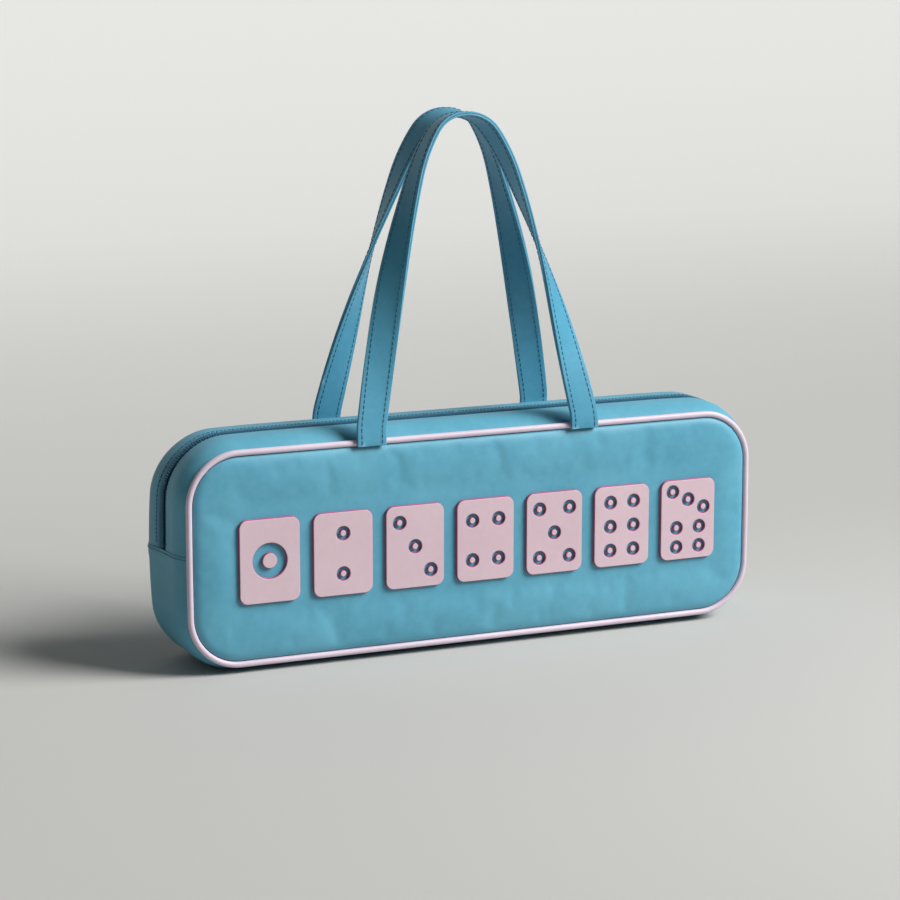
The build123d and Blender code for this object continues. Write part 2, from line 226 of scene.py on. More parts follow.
def bars(name, size, sides, rotation, rounding, first, count, pitch):
    """A row of small rounded bars along X, each with this radius and length."""
    radius, length = size
    bpy.ops.mesh.primitive_cylinder_add(vertices=sides, radius=radius, depth=length, rotation=rotation)
    row = bpy.context.object
    row.name = name
    bpy.ops.object.transform_apply(location=True, rotation=True, scale=True)
    round_edges(row, rounding, 1)
    edit(row, lambda: bpy.ops.transform.translate(value=first))
    return modify(row, "ARRAY", count=count, use_relative_offset=False, use_constant_offset=True,
                  constant_offset_displace=(pitch, 0, 0))


def stitches(name, start, end, across, lift, pitch):
    """Thread ends in a flat row, each a short rounded bar."""
    count = max(1, int((end - start) / pitch))
    return bars(name, (THREAD_R, 0.74 * pitch), 6, (0, pi / 2, 0), 0.28 * MM,
                (start + pitch / 2, across, lift), count, pitch)


def finish_piece(piece, material, slot, bodies, *nodes):
    """Material, body and hidden CAD nodes of a finished piece. Given two bodies and their blend's ends, it
    is only fixed where it lies, unblended.
    """
    piece.data.materials.clear()
    piece.data.materials.append(material)
    if isinstance(bodies, str):
        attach(piece, bodies)
    else:
        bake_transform(piece)
    if nodes:
        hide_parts(*nodes)
    return piece


# ---- routes on the body -----------------------------------------------------------------------------
SIDE_RUN = 2 * (HALF_H - CORNER_R)
LONG_RUN = 2 * (HALF_L - CORNER_R)
CORNER_RUN = CORNER_R * pi / 2
ROUND = 2 * (SIDE_RUN + LONG_RUN) + 4 * CORNER_RUN
SEAM_AT = LONG_RUN / 2 + CORNER_RUN + SEAM_Z - BASE_Z - CORNER_R  # travel at the right side seam
TOP_AT = ROUND / 2


def outline(travel, out):
    """Point (x, z) on the case's outline, `out` outside the piping's centreline.

    travel starts at the middle of the base and runs to the right end, over the top and back.
    """
    travel = travel % ROUND
    flip = 1.0
    if travel > ROUND / 2:
        travel, flip = ROUND - travel, -1.0
    corner_x, low_z, high_z = HALF_L - CORNER_R, BASE_Z + CORNER_R, TOP_Z - CORNER_R
    reach = CORNER_R + out
    if travel <= LONG_RUN / 2:
        return flip * travel, BASE_Z - out
    travel -= LONG_RUN / 2
    if travel <= CORNER_RUN:
        turn = travel / CORNER_R
        return flip * (corner_x + reach * sin(turn)), low_z - reach * cos(turn)
    travel -= CORNER_RUN
    if travel <= SIDE_RUN:
        return flip * (HALF_L + out), low_z + travel
    travel -= SIDE_RUN
    if travel <= CORNER_RUN:
        turn = travel / CORNER_R
        return flip * (corner_x + reach * cos(turn)), high_z + reach * sin(turn)
    travel -= CORNER_RUN
    return flip * (corner_x - travel), TOP_Z + out


def bowed(point):
    """The case's two ends bow out about half-way up, the left one more at the rear."""
    depth = (point.y + PIPING_Y) / (2 * PIPING_Y)
    bow = END_BOW
    if point.x < 0:
        bow += sum(more * ease(depth, start, full) for more, start, full in SLACK_BOW)
    middle = max(0.0, 1 - ((point.z - MID_Z) / HALF_H) ** 2)
    point.x += copysign(bow * middle * ease(abs(point.x), HALF_L - BOW_RUN, HALF_L), point.x)
    return point


def ridge(travel):
    """Extra rise of the gusset along the top."""
    near = abs(travel % ROUND - TOP_AT)
    return RIDGE * (1 - ease(near, LONG_RUN / 2 - RIDGE_FADE, LONG_RUN / 2 + CORNER_RUN))


def on_gusset(side):
    """Lays (travel, distance from the piping, height) on the gusset; side is -1 in front."""

    def place(travel, across, lift):
        turn = SHOULDER_TURN * max(0.0, 1 - across / SHOULDER_RUN)
        reach = SHOULDER_R + lift
        out = BULGE - SHOULDER_R + reach * cos(turn)
        y = FLAT_HALF + reach * sin(turn) - max(0.0, across - SHOULDER_RUN)
        out += ridge(travel) * ease(across, 0, SHOULDER_RUN)
        x, z = outline(travel, out)
        return bowed(Vector((x, side * y, z)))

    return place


def round_piping(side, radii, out):
    """Lays (travel, angle) on a tube round the panel's edge, with its radii out and across."""
    radius_out, radius_across = radii

    def place(travel, angle, _):
        x, z = outline(travel, out + radius_out * cos(angle))
        return bowed(Vector((x, side * (PIPING_Y + radius_across * sin(angle)), z)))

    return place


# ---- route of a strap ---------------------------------------------------------------------------------
TOP_SLOPE = radians(LEG[-1][1])


def leg_arcs():
    """Run and turn of each stretch of a leg: its straight foot, then its arcs."""
    runs, turns = [FOOT_TOP - FOOT_LOW + ROOT_STEP], [0.0]
    before = 0.0
    for radius, slope in LEG:
        runs.append(radius * radians(slope - before))
        turns.append(radians(slope - before))
        before = slope
    return runs, turns


LEG_RUNS, LEG_TURNS = leg_arcs()


def leg_point(travel):
    """Across, height and slope of the strap's centreline, this far from the foot's lower end."""
    across, height, slope = HALF_SPAN, FOOT_LOW - FOOT_TOP, 0.0
    for run, turn in zip(LEG_RUNS, LEG_TURNS):
        part = min(travel, run)
        bend = turn * part / run
        chord = part if bend == 0 else 2 * part / bend * sin(bend / 2)
        across -= chord * sin(slope + bend / 2)
        height += chord * cos(slope + bend / 2)
        slope += bend
        travel -= part
    return across, height, slope


# the last arc takes the leg over the top to the middle
APEX_R = leg_point(sum(LEG_RUNS))[0] / cos(TOP_SLOPE)
LEG_RUNS.append(APEX_R * (pi / 2 - TOP_SLOPE))
LEG_TURNS.append(pi / 2 - TOP_SLOPE)
HALF_STRAP = sum(LEG_RUNS)
STRAP_END = 2 * HALF_STRAP
APEX_RISE = leg_point(HALF_STRAP)[1]
LEAN = asin((FOOT_FACE - STRAP_T / 2 - APEX_Y) / APEX_RISE)


def on_strap(turned, centre_x):
    """Lays (travel, across, height) on a strap, from its right foot over to its left one.

    The rear strap (turned -1) is the front one (turned 1) turned half round.
    """

    def place(travel, across, lift):
        leg = 1.0 if travel < HALF_STRAP else -1.0
        span, height, slope = leg_point(min(travel, STRAP_END - travel))
        degrees = TWIST[0]
        if leg > 0:
            degrees += TWIST_MORE * min((pi / 2 - slope) / (pi / 2 - TOP_SLOPE), 1.0)
        turn = radians(degrees * ease(height, TWIST[1], TWIST[2]))
        along = Vector((-sin(slope), 0, leg * cos(slope)))
        outside = Vector((leg * cos(slope), 0, sin(slope)))
        face = Vector((0, -cos(turn), 0)) + outside * sin(turn)
        point = Vector((leg * span - SWAY * max(0.0, height) / APEX_RISE, STRAP_T / 2, height))
        point += along.cross(face) * across + face * (lift + STRAP_T / 2)
        lean = LEAN * ease(height, *FOOT_BEND)
        x, y, z = Matrix.Rotation(-lean, 3, "X") @ point
        return Vector((centre_x + turned * x, turned * (y - FOOT_FACE), FOOT_TOP + z))

    return place


# ---- shader groups; noise scales are in waves per metre -----------------------------------------------
def group(name, inputs, outputs):
    """An empty node group with these value sockets, and its input and output nodes."""
    tree = bpy.data.node_groups.new(name, "ShaderNodeTree")
    tree.interface.new_socket("Vector", in_out="INPUT", socket_type="NodeSocketVector")
    for label, value in inputs.items():
        socket = tree.interface.new_socket(label, in_out="INPUT", socket_type="NodeSocketFloat")
        socket.default_value = value
    for label in outputs:
        tree.interface.new_socket(label, in_out="OUTPUT", socket_type="NodeSocketFloat")
    return tree, tree.nodes.new("NodeGroupInput"), tree.nodes.new("NodeGroupOutput")


def calc(tree, operation, *values):
    """A maths node; each value is a number or an output socket."""
    node = tree.nodes.new("ShaderNodeMath")
    node.operation = operation
    for socket, value in zip(node.inputs, values):
        if isinstance(value, (int, float)):
            socket.default_value = value
        else:
            tree.links.new(value, socket)
    return node.outputs[0]


def blotches(tree, vector, scale, detail=2.0):
    """A noise node; its scale is a number or an output socket."""
    node = tree.nodes.new("ShaderNodeTexNoise")
    node.inputs["Detail"].default_value = detail
    tree.links.new(vector, node.inputs["Vector"])
    if isinstance(scale, (int, float)):
        node.inputs["Scale"].default_value = scale
    else:
        tree.links.new(scale, node.inputs["Scale"])
    return node.outputs["Fac"]


def mixed(tree, first, second, share=0.7):
    """The first value's share of 1 and the second one's rest, added up."""
    return calc(tree, "ADD", calc(tree, "MULTIPLY", first, share), calc(tree, "MULTIPLY", second, 1 - share))


def leather_grain():
    """Pebbled grain and slow shade changes of coated leather."""
    tree, source, sink = group("leather grain", {"Pebbles": 1100.0, "Drift": 14.0}, ("Height", "Tone"))
    cells = tree.nodes.new("ShaderNodeTexVoronoi")
    cells.feature = "SMOOTH_F1"
    cells.inputs["Smoothness"].default_value = 0.6
    tree.links.new(source.outputs["Vector"], cells.inputs["Vector"])
    tree.links.new(source.outputs["Pebbles"], cells.inputs["Scale"])
    fine = blotches(tree, source.outputs["Vector"], 2600.0)
    tree.links.new(mixed(tree, cells.outputs["Distance"], fine), sink.inputs["Height"])
    drift = blotches(tree, source.outputs["Vector"], source.outputs["Drift"], 3.0)
    mottle = blotches(tree, source.outputs["Vector"], 160.0, 4.0)
    tree.links.new(mixed(tree, drift, mottle), sink.inputs["Tone"])
    return tree


def cloth_weave():
    """Crossed threads of a woven tape or lining."""
    tree, source, sink = group("cloth weave", {"Threads": 2200.0}, ("Height", "Tone"))
    split = tree.nodes.new("ShaderNodeSeparateXYZ")
    tree.links.new(source.outputs["Vector"], split.inputs[0])
    waves = []
    for axis in ("X", "Y"):
        turn = calc(tree, "MULTIPLY", split.outputs[axis], source.outputs["Threads"])
        waves.append(calc(tree, "ABSOLUTE", calc(tree, "SINE", turn)))
    height = calc(tree, "MAXIMUM", *waves)
    tree.links.new(height, sink.inputs["Height"])
    fuzz = blotches(tree, source.outputs["Vector"], 420.0, 4.0)
    tree.links.new(calc(tree, "MULTIPLY", fuzz, height), sink.inputs["Tone"])
    return tree


def edge_wear_and_highlight():
    """A mask along outer edges, broken up by noise: rubbed edges, and on the handles partly a painted
    highlight.
    """
    tree, source, sink = group("edge wear", {"Amount": 0.6}, ("Mask",))
    shape = tree.nodes.new("ShaderNodeNewGeometry")
    edge = tree.nodes.new("ShaderNodeMapRange")
    edge.inputs["From Min"].default_value = 0.52
    edge.inputs["From Max"].default_value = 0.62
    tree.links.new(shape.outputs["Pointiness"], edge.inputs["Value"])
    breakup = blotches(tree, source.outputs["Vector"], 240.0, 4.0)
    broken = calc(tree, "MULTIPLY", edge.outputs["Result"], calc(tree, "ADD", breakup, 0.4))
    mask = calc(tree, "MULTIPLY", broken, source.outputs["Amount"])
    tree.links.new(mask, sink.inputs["Mask"])
    return tree


GRAIN = leather_grain()
WEAR_AND_HIGHLIGHT = edge_wear_and_highlight()
WEAVE = cloth_weave()


# ---- materials ----------------------------------------------------------------------------------------
def linear(colour):
    """A colour written as sRGB from 0 to 255, as linear light."""
    parts = [value / 255 for value in colour]
    return [v / 12.92 if v <= 0.04045 else ((v + 0.055) / 1.055) ** 2.4 for v in parts]


def surface(name, tree, dark, light, wear_and_highlight_colour, rough, bump, sheen=0.0, wear_and_highlight=0.5, shine=0.35):
    """A material whose colour and roughness follow a group's tone, and its bump the group's height.

    Its outer edges turn to a third colour: rubbed leather, and where the amount is raised, as on the
    handles, partly a painted highlight.
    """
    material = bpy.data.materials.new(name)
    material.use_nodes = True
    nodes, links = material.node_tree.nodes, material.node_tree.links
    shader = nodes["Principled BSDF"]
    shader.inputs["Specular IOR Level"].default_value = shine
    shader.inputs["Sheen Weight"].default_value = sheen
    shader.inputs["Sheen Roughness"].default_value = 0.4
    place = nodes.new("ShaderNodeTexCoord")
    pattern, edges = (nodes.new("ShaderNodeGroup") for _ in range(2))
    pattern.node_tree = tree
    edges.node_tree = WEAR_AND_HIGHLIGHT
    edges.inputs["Amount"].default_value = wear_and_highlight
    links.new(place.outputs["Object"], pattern.inputs["Vector"])
    links.new(place.outputs["Object"], edges.inputs["Vector"])
    ramp = nodes.new("ShaderNodeValToRGB")
    for element, position, colour in zip(ramp.color_ramp.elements, (0.3, 0.7), (dark, light)):
        element.position = position
        element.color = (*linear(colour), 1)
    links.new(pattern.outputs["Tone"], ramp.inputs["Fac"])
    mix = nodes.new("ShaderNodeMix")
    mix.data_type = "RGBA"
    mix.inputs["B"].default_value = (*linear(wear_and_highlight_colour), 1)
    links.new(edges.outputs["Mask"], mix.inputs["Factor"])
    links.new(ramp.outputs["Color"], mix.inputs["A"])
    links.new(mix.outputs["Result"], shader.inputs["Base Color"])
    gloss = nodes.new("ShaderNodeMapRange")
    gloss.inputs["To Min"].default_value = rough - 0.06
    gloss.inputs["To Max"].default_value = rough + 0.06
    links.new(pattern.outputs["Tone"], gloss.inputs["Value"])
    links.new(gloss.outputs["Result"], shader.inputs["Roughness"])
    relief = nodes.new("ShaderNodeBump")
    relief.inputs["Strength"].default_value = bump
    relief.inputs["Distance"].default_value = 0.15 * MM
    links.new(pattern.outputs["Height"], relief.inputs["Height"])
    links.new(relief.outputs["Normal"], shader.inputs["Normal"])
    return material


CASE = surface("case leather", GRAIN, (80, 150, 174), (98, 167, 189), (144, 198, 212),
               rough=0.48, bump=0.28, sheen=0.02)
# the handle's lighter edges are rubbed edge paint, and partly a painted highlight along the strap edges
HANDLE = surface("handle leather", GRAIN, (68, 140, 168), (86, 157, 184), (148, 204, 220),
                 rough=0.42, bump=0.24, sheen=0.02, wear_and_highlight=0.8)
PIPE = surface("piping leather", GRAIN, (202, 184, 199), (214, 199, 212), (228, 216, 226),
               rough=0.38, bump=0.15)
PATCH = surface("patch face", GRAIN, (203, 176, 185), (212, 187, 195), (226, 206, 213),
                rough=0.42, bump=0.12, wear_and_highlight=0.0)
BACKING = surface("patch backing", GRAIN, (172, 74, 118), (188, 90, 134), (206, 122, 158),
                  rough=0.55, bump=0.3)
THREAD = surface("thread", WEAVE, (18, 76, 104), (34, 98, 128), (60, 130, 158),
                 rough=0.6, bump=0.4)
CHAIN = surface("zip chain", WEAVE, (20, 84, 114), (34, 104, 136), (70, 140, 168),
                rough=0.4, bump=0.2)
TAPE = surface("zip tape cloth", WEAVE, (16, 66, 92), (26, 82, 110), (44, 104, 132),
               rough=0.8, bump=0.5, sheen=0.1)
LINING = surface("lining cloth", WEAVE, (48, 108, 134), (62, 126, 152), (84, 146, 170),
                 rough=0.8, bump=0.5, sheen=0.1)
ENAMEL = surface("zip enamel", GRAIN, (30, 96, 126), (38, 108, 140), (120, 150, 162),
                 rough=0.3, bump=0.05)

# ---- panels -------------------------------------------------------------------------------------------
PANEL_T = 2.4 * MM
PANEL_CELL = (3.5 * MM, 3.5 * MM)
PANEL_INSET = 2.3 * MM
PANEL_EDGE = PIPING_Y + 0.4 * MM
ROLL_RUN = 8.0 * MM  # the panel rolls up from its seam over this distance
ROLL_POWER = 2.4
CROWN = 0.7 * MM  # further in, it still rises this much
CROWN_RUN = 28.0 * MM
# loose leather: waves per metre along and up, their height in millimetres, and a seed
LOOSE_WAVES = ((9, 15, 0.9, 3.0), (36, 9, 0.5, 7.0))
LOOSE_FROM = 12.0 * MM
LOOSE_FADE = (26.0 * MM, 46.0 * MM, 0.8)
HELD_SEAM = 3.0 * MM
HELD_MIDDLE = (34.0 * MM, 46.0 * MM)
SWELL_STEPS = 16
SWELL_CAP = 1.0 * MM
SWELL_PRESSURE = 2.5
SWELL_SLACK = 0.0015
SWELL_MASS = 0.05
SWELL_BENDING = 4


def rounded(x, z, half_l, half_h, radius):
    """Pull the corner squares of a rectangle in to its round corners; also the edge's distance."""
    cx, cz = max(0.0, abs(x) - (half_l - radius)), max(0.0, abs(z) - (half_h - radius))
    if cx > 0 and cz > 0:
        pull = max(cx, cz) / sqrt(cx * cx + cz * cz)
        near = radius - max(cx, cz)
        cx, cz = cx * pull, cz * pull
        x = (half_l - radius + cx) * (1 if x > 0 else -1)
        z = (half_h - radius + cz) * (1 if z > 0 else -1)
        return x, z, near
    return x, z, min(half_l - abs(x), half_h - abs(z))


def swell(piece, held, pressure):
    """Let a sheet swell as cloth, with its held points staying; no point moves past the cap."""
    start = [vertex.co.copy() for vertex in piece.data.vertices]
    sewn = piece.vertex_groups.new(name="sewn")
    for index, weight in enumerate(held):
        sewn.add([index], weight, "REPLACE")
    only(piece)
    modifier = piece.modifiers.new("cloth", "CLOTH")
    cloth = modifier.settings
    cloth.vertex_group_mass = "sewn"
    cloth.mass = SWELL_MASS
    cloth.bending_stiffness = SWELL_BENDING
    cloth.use_pressure = True
    cloth.uniform_pressure_force = pressure
    cloth.shrink_min = -SWELL_SLACK
    cloth.effector_weights.gravity = 0
    modifier.collision_settings.use_collision = False
    modifier.point_cache.frame_end = SWELL_STEPS
    for step in range(1, SWELL_STEPS + 1):
        bpy.context.scene.frame_set(step)
    bpy.ops.object.modifier_apply(modifier=modifier.name)
    bpy.context.scene.frame_set(1)
    for vertex, place in zip(piece.data.vertices, start):
        moved = vertex.co - place
        if moved.length > SWELL_CAP:
            moved *= SWELL_CAP / moved.length
        vertex.co = place + moved
    piece.vertex_groups.clear()


def panel_rise(x, z, near, side):
    """How far the panel stands out here, `near` being the distance to its edge."""
    roll = 1 - (1 - min(near / ROLL_RUN, 1.0)) ** ROLL_POWER
    loose = 0.0
    for along, up, height, seed in LOOSE_WAVES:
        loose += noise.noise(Vector((x * along, z * up, seed * side))) * height * MM
    low, high, share = LOOSE_FADE
    loose *= ease(near, 0, LOOSE_FROM) * (1 - share * ease(near, low, high))
    proud = PANEL_EDGE + (PANEL_FACE - PANEL_EDGE - CROWN) * roll
    return proud + CROWN * ease(near, 0, CROWN_RUN) + loose


def panel(which, side):
    """Padded front or rear panel: sewn down at its edge, and swelling between there and its middle."""
    half_l, half_h = HALF_L - PANEL_INSET, HALF_H - PANEL_INSET
    piece = flat_cut(f"{which}_panel_leather", (-half_l, -half_h), (half_l, half_h), PANEL_CELL)
    held = []
    for vertex in piece.data.vertices:
        x, z, near = rounded(vertex.co.x, vertex.co.y, half_l, half_h, CORNER_R - PANEL_INSET)
        vertex.co = bowed(Vector((x, side * panel_rise(x, z, near, side), MID_Z + z)))
        held.append(max(1 - ease(near, 0, HELD_SEAM), ease(near, *HELD_MIDDLE)))
    swell(piece, held, -side * SWELL_PRESSURE)
    modify(piece, "SOLIDIFY", thickness=PANEL_T, offset=side)
    modify(piece, "SUBSURF", levels=1, render_levels=1)
    outward(piece)
    smooth(piece, 60)
    finish_piece(piece, CASE, "case_leather", "case", f"{which}_panel", f"{which}_foam")


for which, side in SIDES.items():
    panel(which, side)

# ---- piping and seam binding --------------------------------------------------------------------------
PIPING_SUNK = {"front": 0.0, "rear": 0.9 * MM}  # the rear one lies deeper, hidden from the front
BINDING_RADII = (4.2 * MM, 1.3 * MM)
BINDING_IN = 9.2 * MM


def tube(name, side, radii, out, cell, sides):
    """A closed tube all round the panel's edge, `out` outside the piping's centreline."""
    piece = flat_cut(name, (0, 0), (ROUND, 2 * pi), (cell, 2 * pi / sides))
    lay(piece, round_piping(side, radii, out))
    return smooth(piece, 60)


for which, side in SIDES.items():
    piping = tube(f"{which}_piping_leather", side, (PIPING_R, PIPING_R), -PIPING_SUNK[which], 4 * MM, 16)
    finish_piece(piping, PIPE, "piping_leather", "case", f"{which}_piping", f"{which}_piping_cord")
    binding = tube(f"{which}_binding_tape", side, BINDING_RADII, -BINDING_IN, 6 * MM, 12)
    finish_piece(binding, TAPE, "binding", "case", f"{which}_seam_binding")


# ---- base gusset --------------------------------------------------------------------------------------
def across_base(travel, across, lift):
    """Lays the base's whole width, measured from the front piping to the rear one."""
    # the hems at both side seams stand proud of the strips
    near_seam = SEAM_AT - abs(travel)
    lift += FOLD * (1 - ease(near_seam, HEM - HEM_EDGE, HEM + HEM_EDGE))
    if across <= HALF_BAND:
        return on_gusset(-1)(travel, across, lift)
    return on_gusset(1)(travel, 2 * HALF_BAND - across, lift)


def hem_thread(end):
    """The row of stitches across the hem at this end."""
    row = stitches("hem_thread", HEM_EDGE, 2 * HALF_BAND - HEM_EDGE, 0, THREAD_LIFT, STITCH)
    lay(row, lambda along, off, lift: Vector((end * (SEAM_AT - HEM_ROW) + off, along, lift)))
    return lay(row, across_base)


base = flat_cut("base_gusset_leather", (-SEAM_AT, 0), (SEAM_AT, 2 * HALF_BAND), SKIN_CELL)
thicken(base, SKIN, 0.6 * MM, 3)
lay(base, across_base)
smooth(base)
finish_piece(base, CASE, "case_leather", "case", "base_gusset", "base_foam")

hem_threads = join([hem_thread(end) for end in (-1, 1)], "base_hem_thread")
finish_piece(smooth(hem_threads), THREAD, "case_leather", "case")

# ---- zip-top gusset: strips, tapes, chain and lining, in right and left halves ------------------------
SLIDE_TOP = SEAM_AT + 42 * MM
DIP_RUN = 38.0 * MM
BEND = 46.0 * MM  # length from the fixed corner along the top, given as the span of the flap's blend
FOLD_AT = HALF_BAND - ZIP_SLOT_HALF
ZIP_ROW = FOLD_AT - 2.8 * MM
LAP = 8.0 * MM  # the halves run this far on behind the base gusset's hem
MEET = 1.2 * MM  # the halves reach this far past the middle, the left one a hair lower
HAIR = 0.02 * MM
CLOTH_CELL = (4 * MM, 3 * MM)
TAPE_IN = 5.0 * MM
TAPE_GAP = 1.1 * MM
TAPE_LIFT = -1.7 * MM
LINING_IN = 1.0 * MM
LINING_GAP = 8.0 * MM
LINING_DEPTH = 2.5 * MM


def flap_bodies(which, end):
    """The blend from the case's corner to the folding run, on the right (1) or left (-1)."""
    corner = end * (HALF_L - CORNER_R)
    start = (corner, 0, TOP_Z)
    stop = (corner - end * BEND, 0, TOP_Z)
    return "case", f"{which}_flap", start, stop


def dipped(side):
    """Lays a strip on the gusset, its folded edge sinking to the zip's tape.

    It stays level on the right end, where the slider runs.
    """
    place = on_gusset(side)

    def sunk(travel, across, lift):
        dip = ZIP_DIP * ease(across, FOLD_AT - ZIP_DIP_WIDTH, FOLD_AT)
        dip *= ease(travel, SLIDE_TOP, SLIDE_TOP + DIP_RUN)
        return place(travel, across, lift - dip)

    return sunk


def across_zip(side):
    """Lays a tooth that reaches past the zip's centreline."""
    place = on_gusset(side)

    def crossed(travel, across, lift):
        point = place(travel, min(across, HALF_BAND), lift)
        point.y -= side * max(0.0, across - HALF_BAND)
        return point

    return crossed


def half_run(end, right_start, left_stop, meet=0.0):
    """Travel of one half of the zip: from the right to the middle, or from there to the left."""
    if end > 0:
        return right_start, TOP_AT + meet
    return TOP_AT - meet, left_stop


def zip_layer(which, label, layer, inner, outer, lift, cell, thick, edge, material, slot):
    """One half of a gusset layer, `inner` to `outer` being its distances from the piping."""
    end = ENDS[label]
    start, stop = half_run(end, SEAM_AT - LAP, ROUND - SEAM_AT + LAP, MEET)
    piece = flat_cut(f"{which}_{layer}_{label}", (start, inner), (stop, outer), cell)
    lift_flat(piece, lift - (HAIR if end < 0 else 0))
    thicken(piece, thick, edge)
    lay(piece, dipped(SIDES[which]))
    smooth(piece)
    modify(piece, "WEIGHTED_NORMAL", keep_sharp=True)
    return finish_piece(piece, material, slot, flap_bodies(which, end),
                        f"{which}_{layer}_run", f"{which}_{layer}_ends")


def teeth(which, label):
    """The coil's turns on one half of the zip, as a row of small rounded bars."""
    side, end = SIDES[which], ENDS[label]
    start, stop = half_run(end, SEAM_AT + 4 * MM, ROUND - SEAM_AT + 1 * MM)
    length = CHAIN_HALF + TOOTH_OVERLAP
    offset = (0.25 if side < 0 else 0.75) * TOOTH_PITCH
    first = (start + offset, HALF_BAND - CHAIN_HALF + length / 2, TOOTH_LIFT)
    coil = bars(f"{which}_zip_coil_{label}", (TOOTH_R, length), 8, (pi / 2, 0, 0), 0.3 * MM,
                first, int((stop - start) / TOOTH_PITCH), TOOTH_PITCH)
    lay(coil, across_zip(side))
    finish_piece(smooth(coil), CHAIN, "zip_coil", flap_bodies(which, end),
                 f"{which}_zip_coil_run", f"{which}_zip_coil_ends")


def zip_thread(which, label):
    """The row of stitches along a strip's folded edge."""
    end = ENDS[label]
    start, stop = half_run(end, SEAM_AT + 1 * MM, ROUND - SEAM_AT - 1 * MM)
    row = stitches(f"{which}_zip_thread_{label}", start, stop, ZIP_ROW, THREAD_LIFT, STITCH)
    lay(row, dipped(SIDES[which]))
    finish_piece(smooth(row), THREAD, "case_leather", flap_bodies(which, end))


for which in SIDES:
    for label in ENDS:
        zip_layer(which, label, "zip_strip", 0, FOLD_AT, 0, SKIN_CELL, SKIN, 0.7 * MM,
                  CASE, "case_leather")
        tape = zip_layer(which, label, "zip_tape", SHOULDER_RUN + TAPE_IN, HALF_BAND - TAPE_GAP,
                         TAPE_LIFT, CLOTH_CELL, 0.6 * MM, 0.15 * MM, TAPE, "zip_tape")
        lining = zip_layer(which, label, "strip_lining", LINING_IN, HALF_BAND - LINING_GAP,
                           -LINING_DEPTH, CLOTH_CELL, 0.5 * MM, 0.15 * MM, LINING, "lining")
        teeth(which, label)
        zip_thread(which, label)


# ---- strap handles ------------------------------------------------------------------------------------
def strap(which, turned, centre_x):
    """A two-ply strap from foot to foot, with a row of stitches along each edge of each ply."""
    low, high = FOOT_BEND
    bend = ("case", f"{which}_handle", (0, 0, FOOT_TOP + low), (0, 0, FOOT_TOP + high))
    place = on_strap(turned, centre_x)
    for ply, lift in (("outer", 0.0), ("inner", -PLY - PLY_GAP)):
        piece = flat_cut(f"{which}_strap_{ply}", (0, -STRAP_W / 2), (STRAP_END, STRAP_W / 2),
                         (4 * MM, 2.5 * MM))
        lift_flat(piece, lift)
        thicken(piece, PLY, 0.45 * MM, 3)
        lay(piece, place)
        smooth(piece)
        nodes = [f"{which}_handle_{ply}"] + ([f"{which}_handle_feet"] if ply == "outer" else [])
        finish_piece(piece, HANDLE, "handle_leather", bend, *nodes)
    rows = []
    for lift in (THREAD_LIFT, -STRAP_T - THREAD_LIFT):
        for edge in (-STRAP_ROW, STRAP_ROW):
            rows.append(stitches("row", 1 * MM, STRAP_END - 1 * MM, edge, lift, STRAP_STITCH))
    threads = join(rows, f"{which}_strap_thread")
    lay(threads, place)
    finish_piece(smooth(threads), THREAD, "handle_leather", bend)


strap("front", 1, FRONT_HANDLE_X)
strap("rear", -1, REAR_HANDLE_X)

# ---- lining -------------------------------------------------------------------------------------------
PANEL_LINING_R = CORNER_R - 5.5 * MM
PANEL_LINING_T = 0.4 * MM
LINING_BEHIND = 0.3 * MM
LINING_WAVES = (18, 6)  # waves per metre along and up
BASE_LINING_DEPTH = 7.3 * MM


def panel_lining(which, side):
    """The lining behind a panel, hanging a little loose from its sewn edge."""
    low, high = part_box(f"{which}_lining")
    face = max(abs(low.y), abs(high.y))
    flat = (high.x - low.x, high.z - low.z)
    piece = flat_cut(f"{which}_lining_cloth", (low.x, low.z - MID_Z), (high.x, high.z - MID_Z),
                     (8 * MM, 8 * MM))
    for vertex in piece.data.vertices:
        x, z, near = rounded(vertex.co.x, vertex.co.y, high.x, flat[1] / 2, PANEL_LINING_R)
        loose = noise.noise(Vector((x * LINING_WAVES[0], z * LINING_WAVES[1], side)))
        behind = LINING_BEHIND + abs(0.25 * MM * loose * ease(near, 0, 20 * MM))
        vertex.co = bowed(Vector((x, side * (face - behind), MID_Z + z)))
    modify(piece, "SOLIDIFY", thickness=PANEL_LINING_T, offset=0.0)
    outward(piece)
    smooth(piece)
    finish_piece(piece, LINING, "lining", "case", f"{which}_lining")


for which, side in SIDES.items():
    panel_lining(which, side)

base_lining = flat_cut("base_lining_cloth", (-SEAM_AT, LINING_IN), (SEAM_AT, 2 * HALF_BAND - LINING_IN),
                       (5 * MM, 4 * MM))
lift_flat(base_lining, -BASE_LINING_DEPTH)
thicken(base_lining, 0.5 * MM, 0.12 * MM)
lay(base_lining, across_base)
finish_piece(smooth(base_lining), LINING, "lining", "case", "base_lining")

# ---- tile patches -------------------------------------------------------------------------------------
TILE_W, TILE_H, TILE_ROUND = 52.0 * MM, 70.0 * MM, 7.0 * MM
TILE_PITCH = 64.0 * MM
TILE_X, TILE_Z = 3.0 * MM, 94.0 * MM  # middle of the row
BACKING_T = 2.25 * MM
FACE_T = 0.8 * MM
PIP_R = 6.0 * MM
BIG_PIP_R = 15.0 * MM
PIP_CORE = 0.42
PIPS = {
    1: [(0, 0)],
    2: [(0, -17), (0, 17)],
    3: [(-14, 21), (0, 0), (14, -21)],
    4: [(-12, -17), (12, -17), (-12, 17), (12, 17)],
    5: [(-14, -21), (14, -21), (0, 0), (-14, 21), (14, 21)],
    6: [(x, z) for x in (-11, 11) for z in (-21, 0, 21)],
    7: [(-15, 25), (0, 17.5), (15, 10), (-11, -7), (11, -7), (-11, -24), (11, -24)],
}


